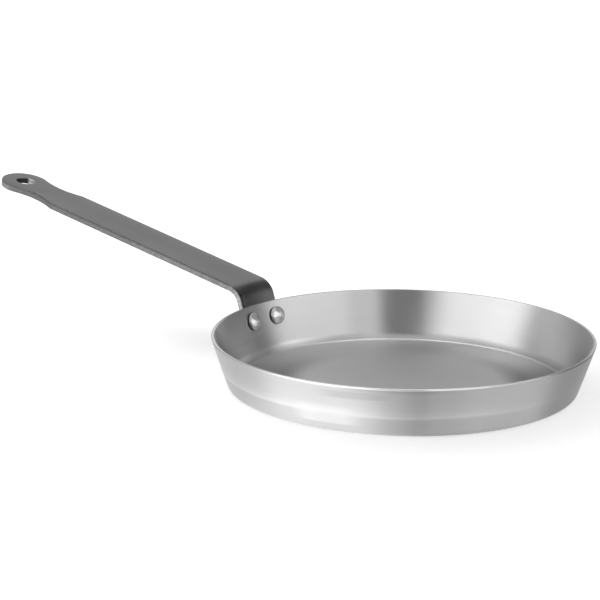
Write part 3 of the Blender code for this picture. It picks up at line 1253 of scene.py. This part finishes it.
    def rubbing(self, station: Array) -> Array:
        """How bright the sheared side is: most at the bend and the head, less along the arm.

        Args:
            station: Length along the top face from the foot's end.

        Returns:
            The brightness at each point.
        """
        arm = (station - self.bend_end) / (self.head_station - self.bend_end)
        start = self.head_station - self.head_start * self.head_radius
        head = smooth((station - start) / self.head_fade)
        near_bend = np.clip(1 - arm / self.rub_reach, 0.0, self.rub_most)
        return self.arm_rub + self.bend_rub * near_bend + self.head_rub * head

    def add_patch(
        self,
        surface: Surface,
        flat: Array,
        depth: Any,
        marks: tuple[Any, ...] = (0.0, 0.0, 0.0),
        closed: bool = False,
    ) -> None:
        """Folds a grid of flat points and adds it.

        The strip's long edges roll over a little: the top face drops there by the square of the
        share of crown_run.

        Args:
            surface: The surface that takes it.
            flat: The grid's (station, across), rows by columns by 2.
            depth: Depths below the top face.
            marks: How far the points are rubbed, shaded and given painted light. The unrubbed
            points of the foot and the bend take the bend's painted light too, its painted
            shade a little deeper on one side.
            closed: Whether the last row joins the first.
        """
        station, across = flat[..., 0], flat[..., 1]
        over = np.clip((np.abs(across) - self.width / 2) / self.crown_run + 1, 0.0, 1.0)
        depth = depth + self.crown_drop * over**2 * (1 - depth / self.thickness)
        uv = np.stack([station, across + depth], axis=-1)
        # Painted light on the foot and the bend, from the bend's table.
        share = (station - self.foot_run) / self.bend_run
        bend = np.interp(share, self.bend_reach, self.bend_marks)
        bend = bend * np.where(bend < 0, 1 - self.bend_slant * across / self.width, 1.0)
        marks = (marks[0], marks[1], marks[2] + bend * np.equal(marks[0], 0.0))
        surface.add(self.fold(station, across, depth), uv, marks, closed)

    def build(self, material: bpy.types.Material) -> bpy.types.Object:
        """Builds the outline's side, the two faces, and the head's patches round the hole.

        Args:
            material: The handle's steel.

        Returns:
            The handle's piece.
        """
        side, patch = self.side()
        inset, depth, rubbed, shaded = self.sheared_side(self.edge_radius)
        columns = np.linspace(-1.0, 1.0, self.columns + 1)
        left = side[::-1][1:-1] * [1, -1, 1, -1]
        foot = np.stack([0 * columns, side[0, 1] * columns, 0 * columns - 1, 0 * columns], axis=1)
        outline = np.concatenate([foot, side[1:], left])
        surface = Surface()
        wall = outline[:, None, :2] - outline[:, None, 2:] * inset[None, :, None]
        near_foot = smooth((self.bend_end - outline[:, :1]) / self.bend_run)
        shine = self.foot_shine * near_foot * np.greater(rubbed, 0.0)
        marks = (self.rubbing(outline[:, :1]) * rubbed, shaded[None], shine)
        self.add_patch(surface, wall, depth[None], marks, True)
        rows = side[: patch + 1, :2] - side[: patch + 1, 2:] * self.edge_radius
        face = np.stack([rows[:, :1] + 0 * columns, rows[:, 1:] * columns], axis=-1)
        head = outline[self.columns + patch : -patch]
        ring = np.concatenate([head[:, :2] - head[:, 2:] * self.edge_radius, face[-1, 1:-1]])
        centre = np.array([self.head_station, 0.0])
        facing = ring - centre
        facing = facing / np.linalg.norm(facing, axis=1, keepdims=True)
        share = np.linspace(0.0, 1.0, self.disc_rows)[None, :, None]
        start = centre + facing * (self.hole_radius + self.lip_radius)
        disc = start[:, None] * (1 - share) + ring[:, None] * share
        inset, depth, _, _ = self.sheared_side(self.lip_radius)
        lip = centre + facing[:, None] * (self.hole_radius + inset[None, :, None])
        # Painted light in the hole: one side of its wall takes a painted highlight, and the rest of
        # the bore painted shade.
        hole_highlight = (facing @ np.array(self.hole_highlight_side) - self.hole_highlight_from) / self.hole_highlight_fade
        hole_highlight = smooth(hole_highlight)[:, None]
        deep = smooth(depth / self.lip_radius - self.bore_start)[None]
        marks = (hole_highlight, deep * (1 - hole_highlight), self.hole_highlight_gain * hole_highlight)
        self.add_patch(surface, lip, depth[None], marks, True)
        # Painted highlight towards the top face's near edge, and painted shade at that edge.
        top_light = np.interp(columns, self.top_light_reach, self.top_light_marks)[None]
        for level, painted_light in ((0.0, top_light), (self.thickness, 0.0)):
            self.add_patch(surface, face, level, (0.0, 0.0, painted_light))
            self.add_patch(surface, disc, level, closed=True)
        return add_piece("strip_handle", surface, material, "handle")


# The rivets


@dataclass
class Rivet:
    """A rivet through the wall and the handle's foot: domed head inside, formed head outside."""

    handle: StripHandle
    node: str
    side: int
    edge_distance: float = 0.00425
    drop: float = 0.0106
    shank: float = 0.0050
    dome: float = 0.0114
    dome_height: float = 0.0030
    formed: float = 0.0074
    formed_height: float = 0.0017
    head_side: float = 0.0004
    flats: int = 7
    top_flat: float = 0.93
    flat_slopes: Pair = (0.42, 0.75)
    flat_levels: Pair = (1.02, 1.12)
    bearing_spread: float = 0.25
    softness: float = 0.02
    least_side: float = 0.9
    # Where the painted shade at each head's foot starts, and how far up it fades.
    foot_shade_from: float = 0.4
    foot_shade_reach: float = 1.8
    marks_seed: int = 5
    turn_steps: int = 84
    crown_rows: int = 30
    under_rows: int = 5

    def section(self, radius: float, height: float) -> Array:
        """A head's half section: its underside, a short side, and a round crown up to the axis.

        The crown is a quarter ellipse, (radius cos t, side + (height - side) sin t).

        Args:
            radius: The head's radius.
            height: The head's height.

        Returns:
            Points as (radius, height over the seat), from the shank to the axis.
        """
        t = np.linspace(0.0, math.pi / 2, self.crown_rows)
        rise = self.head_side + (height - self.head_side) * np.sin(t)
        crown = np.stack([radius * np.cos(t), rise], axis=1)
        crown[-1, 0] = 0.0
        seat = np.linspace(self.shank / 2, radius, self.under_rows)
        under = np.stack([seat, 0 * seat], axis=1)
        return np.concatenate([under, crown])

    def hammered(self, across: Array, up: Array, height: Array, radius: float, top: float) -> Array:
        """Cuts a crown by the flats that the hammer left.

        One flat lies across the top and the others slope all round. Each is the plane
        level - slope * (distance along its bearing), and the crown is their soft least:
        -width * log(sum of exp(-plane / width)).

        Args:
            across: First coordinate over the head.
            up: Second coordinate over the head.
            height: The smooth crown's height.
            radius: The head's radius.
            top: The head's height.

        Returns:
            The cut crown's height.
        """
        spin = np.random.default_rng(self.marks_seed)
        width = self.softness * top
        planes = [height, top * self.top_flat + 0 * height]
        for k in range(self.flats):
            off = spin.uniform(-self.bearing_spread, self.bearing_spread)
            bearing = 2 * math.pi * (k + off) / self.flats
            slope = spin.uniform(*self.flat_slopes) * top / radius
            level = top * spin.uniform(*self.flat_levels)
            along = across * math.cos(bearing) + up * math.sin(bearing)
            planes.append(level - slope * along)
        return -width * np.log(np.sum(np.exp(-np.stack(planes) / width), axis=0))

    def frame(self) -> Matrix:
        """The rivet's place: origin on the wall's outer face, +Z outwards along its normal.

        Returns:
            The matrix that takes the rivet to its place.
        """
        pan, lean = self.handle.pan, self.handle.pan.wall_lean
        radius = pan.wall_top - self.drop * math.sin(lean)
        height = pan.height - self.drop * math.cos(lean)
        spacing = self.handle.width - 2 * self.edge_distance
        swing = self.side * math.asin(spacing / 2 / radius)
        away = Vector((-math.cos(swing), math.sin(swing), 0.0))
        normal = away * math.cos(lean) - Vector((0.0, 0.0, math.sin(lean)))
        turn = Vector((0.0, 0.0, 1.0)).rotation_difference(normal)
        place = Matrix.Translation(radius * away + Vector((0.0, 0.0, height)))
        return place @ turn.to_matrix().to_4x4()

    def build(self, material: bpy.types.Material) -> bpy.types.Object:
        """Turns the section about the rivet's own axis, hammers its crowns and puts it in place.

        Args:
            material: The rivets' steel.

        Returns:
            The rivet's piece.
        """
        pan, gap = self.handle.pan, self.handle.seat_gap
        round_wall = pan.wall_top - self.drop * math.sin(pan.wall_lean) - pan.side_through
        inner_seat = -pan.sheet - gap - (self.dome / 2) ** 2 / (2 * round_wall)
        outer_seat = gap + self.handle.thickness + gap
        turn = np.linspace(0.0, 2 * math.pi, self.turn_steps, endpoint=False)[:, None]
        grids, foot_shade = [], []
        for diameter, top, seat, way in (
            (self.dome, self.dome_height, inner_seat, -1),
            (self.formed, self.formed_height, outer_seat, 1),
        ):
            rows = self.section(diameter / 2, top)
            across, up = rows[None, :, 0] * np.cos(turn), rows[None, :, 0] * np.sin(turn)
            rise = rows[None, :, 1] + 0 * turn
            cut = self.hammered(across, up, rise, diameter / 2, top)
            least = self.least_side * self.head_side
            rise = np.where(rise > self.head_side, np.maximum(cut, least), rise)
            # Painted shade: full at each head's foot, fading upwards.
            clear = smooth((rise / self.head_side - self.foot_shade_from) / self.foot_shade_reach)
            grid = np.stack([across, up, seat + way * rise], axis=-1)
            grids.append(grid[:, ::way])
            foot_shade.append(1 - clear[:, ::way])
        flat = np.concatenate(grids, axis=1)
        matrix = np.array(self.frame())
        grid = flat @ matrix[:3, :3].T + matrix[:3, 3]
        step = np.linalg.norm(np.diff(flat, axis=1), axis=-1)
        run = np.concatenate([0 * turn, np.cumsum(step, axis=1)], axis=1)
        uv = np.stack([run, turn * self.dome / 2 + 0 * run], axis=-1)
        surface = Surface()
        surface.add(grid, uv, (0.0, np.concatenate(foot_shade, axis=1), 0.0), closed=True)
        name = f"{self.node}_steel"
        return add_piece(name, surface, material, self.node)


# The stage


@dataclass(frozen=True)
class View:
    """The camera: where it stands round the rim's centre, and where it points."""

    azimuth: float = math.radians(37.861)
    elevation: float = math.radians(15.147)
    distance: float = 1.62605
    heading: float = math.radians(40.228)
    pitch: float = math.radians(14.400)
    roll: float = math.radians(0.731)
    focal_pixels: float = 2602.6
    farthest: float = 50.0

    def bearing(self, turn: float) -> Vector:
        """A level direction, turned from the camera's own bearing towards the image's left."""
        angle = self.azimuth - turn
        return Vector((math.sin(angle), -math.cos(angle), 0.0))

    def axes(self) -> Matrix:
        """The camera's axes: turned to the heading, tipped down by the pitch, then rolled.

        Returns:
            A matrix whose columns are right, up and backward.
        """
        level = Vector((math.cos(self.heading), math.sin(self.heading), 0.0))
        away = Vector((math.sin(self.heading), -math.cos(self.heading), 0.0))
        back = away * math.cos(self.pitch) + Vector((0.0, 0.0, math.sin(self.pitch)))
        upright = back.cross(level)
        right = level * math.cos(self.roll) + upright * math.sin(self.roll)
        return Matrix((right, back.cross(right), back)).transposed()

    def build(self, pan: PanBody) -> None:
        """Makes the camera and sets it as the scene's.

        Args:
            pan: The pan, whose rim's centre the camera stands round.
        """
        lens = bpy.data.cameras.new("camera")
        lens.sensor_width = SENSOR_WIDTH
        lens.lens = self.focal_pixels * SENSOR_WIDTH / IMAGE_SIDE
        lens.clip_end = self.farthest
        camera = bpy.data.objects.new("camera", lens)
        bpy.context.scene.collection.objects.link(camera)
        back = self.bearing(0.0) * math.cos(self.elevation)
        back = back + Vector((0.0, 0.0, math.sin(self.elevation)))
        place = Matrix.Translation(Vector((0.0, 0.0, pan.height)) + back * self.distance)
        camera.matrix_world = place @ self.axes().to_4x4()
        bpy.context.scene.camera = camera


@dataclass(frozen=True)
class SoftBox:
    """A soft light panel that faces the pan. Bearings count from the camera, left is positive."""

    name: str
    bearing: float
    elevation: float
    distance: float
    width: float
    height: float
    radiance: float

    def build(self, view: View) -> None:
        """Makes the area light, turned to the pan: power = radiance * pi * area.

        Args:
            view: The camera, from which bearings count.
        """
        lamp = bpy.data.lights.new(self.name, "AREA")
        lamp.shape = "RECTANGLE"
        lamp.size = self.width
        lamp.size_y = self.height
        lamp.energy = self.radiance * math.pi * self.width * self.height
        away = view.bearing(self.bearing) * math.cos(self.elevation)
        away = away + Vector((0.0, 0.0, math.sin(self.elevation)))
        light = bpy.data.objects.new(self.name, lamp)
        bpy.context.scene.collection.objects.link(light)
        light.location = away * self.distance
        light.rotation_euler = away.to_track_quat("Z", "Y").to_euler()
        light.visible_glossy = False


@dataclass(frozen=True)
class Patch:
    """A brighter or dimmer patch of the surround, as gloss sees it.

    Its angles are in degrees: the bearing of its middle, how far it reaches to each side, the
    width of its soft edges, and the elevations between which it lies.
    """

    bearing: float
    reach: float
    fade: float
    level: float
    low: float = -5.0
    high: float = 62.0
    lift: float = 12.0


@dataclass(frozen=True)
class Studio:
    """A pale floor and a pale room with large soft panels and dim gaps between them."""

    view: View
    floor_side: float = 14.0
    floor_drop: float = 0.0002
    floor_colour: float = 0.80
    floor_light: float = 0.50
    floor_lift: float = 0.16
    lift_range: Pair = (0.15, 0.24)
    floor_level: float = 0.70
    ambient: float = 0.52
    room: float = 0.60
    ceiling: float = 1.50
    ceiling_range: Pair = (60.0, 78.0)
    room_patches: tuple[Patch, ...] = (
        Patch(96, 15, 26, 1.04),
        Patch(142, 20, 12, 0.62, high=40.0),
        Patch(55, 22, 22, 3.10, high=36.0),
        Patch(-60, 30, 14, 2.30, high=36.0),
        Patch(-24, 7, 12, 1.35),
        Patch(-1, 12, 6, 0.04),
        Patch(-131, 18, 12, 0.17, high=53.0),
        Patch(-172, 14, 14, 0.70, high=50.0),
        Patch(-176, 20, 14, 1.75, low=9.0, high=20.0, lift=10.0),
    )
    floor_patches: tuple[Patch, ...] = (
        Patch(75, 30, 30, 1.00),
        Patch(31, 16, 28, 1.35),
        Patch(-40, 20, 20, 0.62),
        Patch(-85, 25, 25, 0.60),
        Patch(-160, 22, 15, 0.40),
    )
    panels: tuple[SoftBox, ...] = (
        SoftBox("left_panel", math.radians(140), math.radians(48), 1.5, 1.6, 1.2, 0.8),
        SoftBox("top_panel", math.radians(100), math.radians(78), 1.6, 1.4, 1.4, 0.3),
    )

    def bearing(self, graph: Graph, x: Socket, y: Socket) -> Socket:
        """A direction's bearing from the camera in degrees: the angle of (front, left).

        Args:
            graph: The graph that takes the nodes.
            x: The direction's x.
            y: The direction's y.

        Returns:
            The bearing.
        """
        front, left = self.view.bearing(0.0), self.view.bearing(math.pi / 2)
        along = graph.math("MULTIPLY_ADD", x, front.x, graph.math("MULTIPLY", y, front.y))
        across = graph.math("MULTIPLY_ADD", x, left.x, graph.math("MULTIPLY", y, left.y))
        return graph.math("DEGREES", graph.math("ARCTAN2", across, along))

    def patched(
        self,
        graph: Graph,
        level: Any,
        patches: tuple[Patch, ...],
        bearing: Socket,
        rise: Any = None,
    ) -> Any:
        """Lays patches over a level, each by a smooth step of its distance and of the elevation.

        Args:
            graph: The graph that takes the nodes.
            level: The level without patches.
            patches: The patches, in the order in which they are laid.
            bearing: The ray's or point's bearing in degrees.
            rise: The ray's elevation in degrees, or None where it has none.

        Returns:
            The level with the patches.
        """
        for patch in patches:
            apart = graph.math("SUBTRACT", bearing, patch.bearing)
            apart = graph.math("ABSOLUTE", graph.math("WRAP", apart, 180.0, -180.0))
            share = graph.between(apart, patch.reach, patch.reach + patch.fade, 1.0, 0.0)
            if rise is not None:
                half = patch.lift / 2
                low = graph.between(rise, patch.low - half, patch.low + half)
                high = graph.between(rise, patch.high - half, patch.high + half, 1.0, 0.0)
                share = graph.math("MULTIPLY", share, graph.math("MULTIPLY", low, high))
            change = graph.math("SUBTRACT", patch.level, level)
            level = graph.math("MULTIPLY_ADD", share, change, level)
        return level

    def rays(self, graph: Graph) -> tuple[Socket, Socket]:
        """Whether a ray comes from the camera or through glass, and whether it is glossy.

        Args:
            graph: The graph that takes the nodes.

        Returns:
            The two masks.
        """
        path = graph.node("ShaderNodeLightPath").outputs
        plain = graph.math("MAXIMUM", path["Is Camera Ray"], path["Is Transmission Ray"])
        return plain, path["Is Glossy Ray"]

    def room_level(self, graph: Graph) -> Socket:
        """The room's brightness by direction: its level with its patches, then the ceiling.

        Args:
            graph: The graph that takes the nodes.

        Returns:
            The brightness.
        """
        x, y, z = graph.split(graph.node("ShaderNodeTexCoord").outputs["Generated"])
        rise = graph.math("DEGREES", graph.math("ARCSINE", z))
        level = self.patched(graph, self.room, self.room_patches, self.bearing(graph, x, y), rise)
        over = graph.between(rise, *self.ceiling_range)
        change = graph.math("SUBTRACT", self.ceiling, level)
        return graph.math("MULTIPLY_ADD", over, change, level)

    def build_world(self) -> None:
        """The surround: white to the camera, the room to gloss, and even to diffuse light."""
        world = bpy.data.worlds.new("studio")
        bpy.context.scene.world = world
        world.use_nodes = True
        graph = Graph(world.node_tree)
        world.node_tree.nodes.clear()
        plain, gloss = self.rays(graph)
        rest = graph.math("SUBTRACT", 1.0, graph.math("MAXIMUM", plain, gloss))
        strength = graph.math("MULTIPLY_ADD", self.room_level(graph), gloss, plain)
        strength = graph.math("MULTIPLY_ADD", rest, self.ambient, strength)
        background = graph.node("ShaderNodeBackground")
        background.inputs["Color"].default_value = grey(1.0)
        graph.put(background.inputs["Strength"], strength)
        output = graph.node("ShaderNodeOutputWorld")
        graph.put(output.inputs["Surface"], background.outputs[0])

    def build_floor(self) -> None:
        """A pale matt floor: white away from the pan, with its shadow, and a glow in gloss."""
        half = self.floor_side / 2
        mesh = bpy.data.meshes.new("floor")
        corners = [(-half, -half, 0.0), (half, -half, 0.0), (half, half, 0.0), (-half, half, 0.0)]
        mesh.from_pydata(corners, [], [(0, 1, 2, 3)])
        floor = bpy.data.objects.new("floor", mesh)
        bpy.context.scene.collection.objects.link(floor)
        floor.location.z = -self.floor_drop
        material = bpy.data.materials.new("pale_floor")
        material.use_nodes = True
        material.node_tree.nodes.clear()
        graph = Graph(material.node_tree)
        seen, gloss = self.rays(graph)
        x, y, _ = graph.split(graph.node("ShaderNodeTexCoord").outputs["Object"])
        bearing = self.bearing(graph, x, y)
        matt = graph.node("ShaderNodeBsdfDiffuse")
        matt.inputs["Color"].default_value = grey(self.floor_colour)
        square = graph.math("MULTIPLY_ADD", x, x, graph.math("MULTIPLY", y, y))
        light = (self.floor_light, self.floor_light + self.floor_lift)
        lit = graph.between(graph.math("SQRT", square), *self.lift_range, *light)
        pale = graph.node("ShaderNodeEmission")
        graph.put(pale.inputs["Strength"], graph.math("MULTIPLY", seen, lit))
        both = graph.node("ShaderNodeAddShader")
        graph.put(both.inputs[0], matt.outputs[0])
        graph.put(both.inputs[1], pale.outputs[0])
        bright = graph.node("ShaderNodeEmission")
        glow = self.patched(graph, self.floor_level, self.floor_patches, bearing)
        graph.put(bright.inputs["Strength"], glow)
        mix = graph.node("ShaderNodeMixShader")
        graph.put(mix.inputs[0], gloss)
        graph.put(mix.inputs[1], both.outputs[0])
        graph.put(mix.inputs[2], bright.outputs[0])
        output = graph.node("ShaderNodeOutputMaterial")
        graph.put(output.inputs["Surface"], mix.outputs[0])
        mesh.materials.append(material)

    def build(self) -> None:
        """Builds the surround, the floor and the panels."""
        self.build_world()
        self.build_floor()
        for panel in self.panels:
            panel.build(self.view)


def main() -> None:
    """Loads the frame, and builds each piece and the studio."""
    logging.basicConfig(level=logging.INFO, format="%(name)s: %(message)s")
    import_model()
    bpy.context.scene.view_settings.view_transform = "Standard"
    effects = Effects()
    pan = PanBody()
    handle = StripHandle(pan)
    rivets = [
        Rivet(handle, "rivet_left", -1, marks_seed=8),
        Rivet(handle, "rivet_right", 1, marks_seed=5),
    ]
    pan.build(BrushedSteel().build(effects))
    handle.build(BlackenedSteel().build(effects))
    rivet_steel = UpsetSteel().build(effects)
    for rivet in rivets:
        rivet.build(rivet_steel)
    view = View()
    view.build(pan)
    Studio(view).build()


if __name__ == "__main__":
    main()
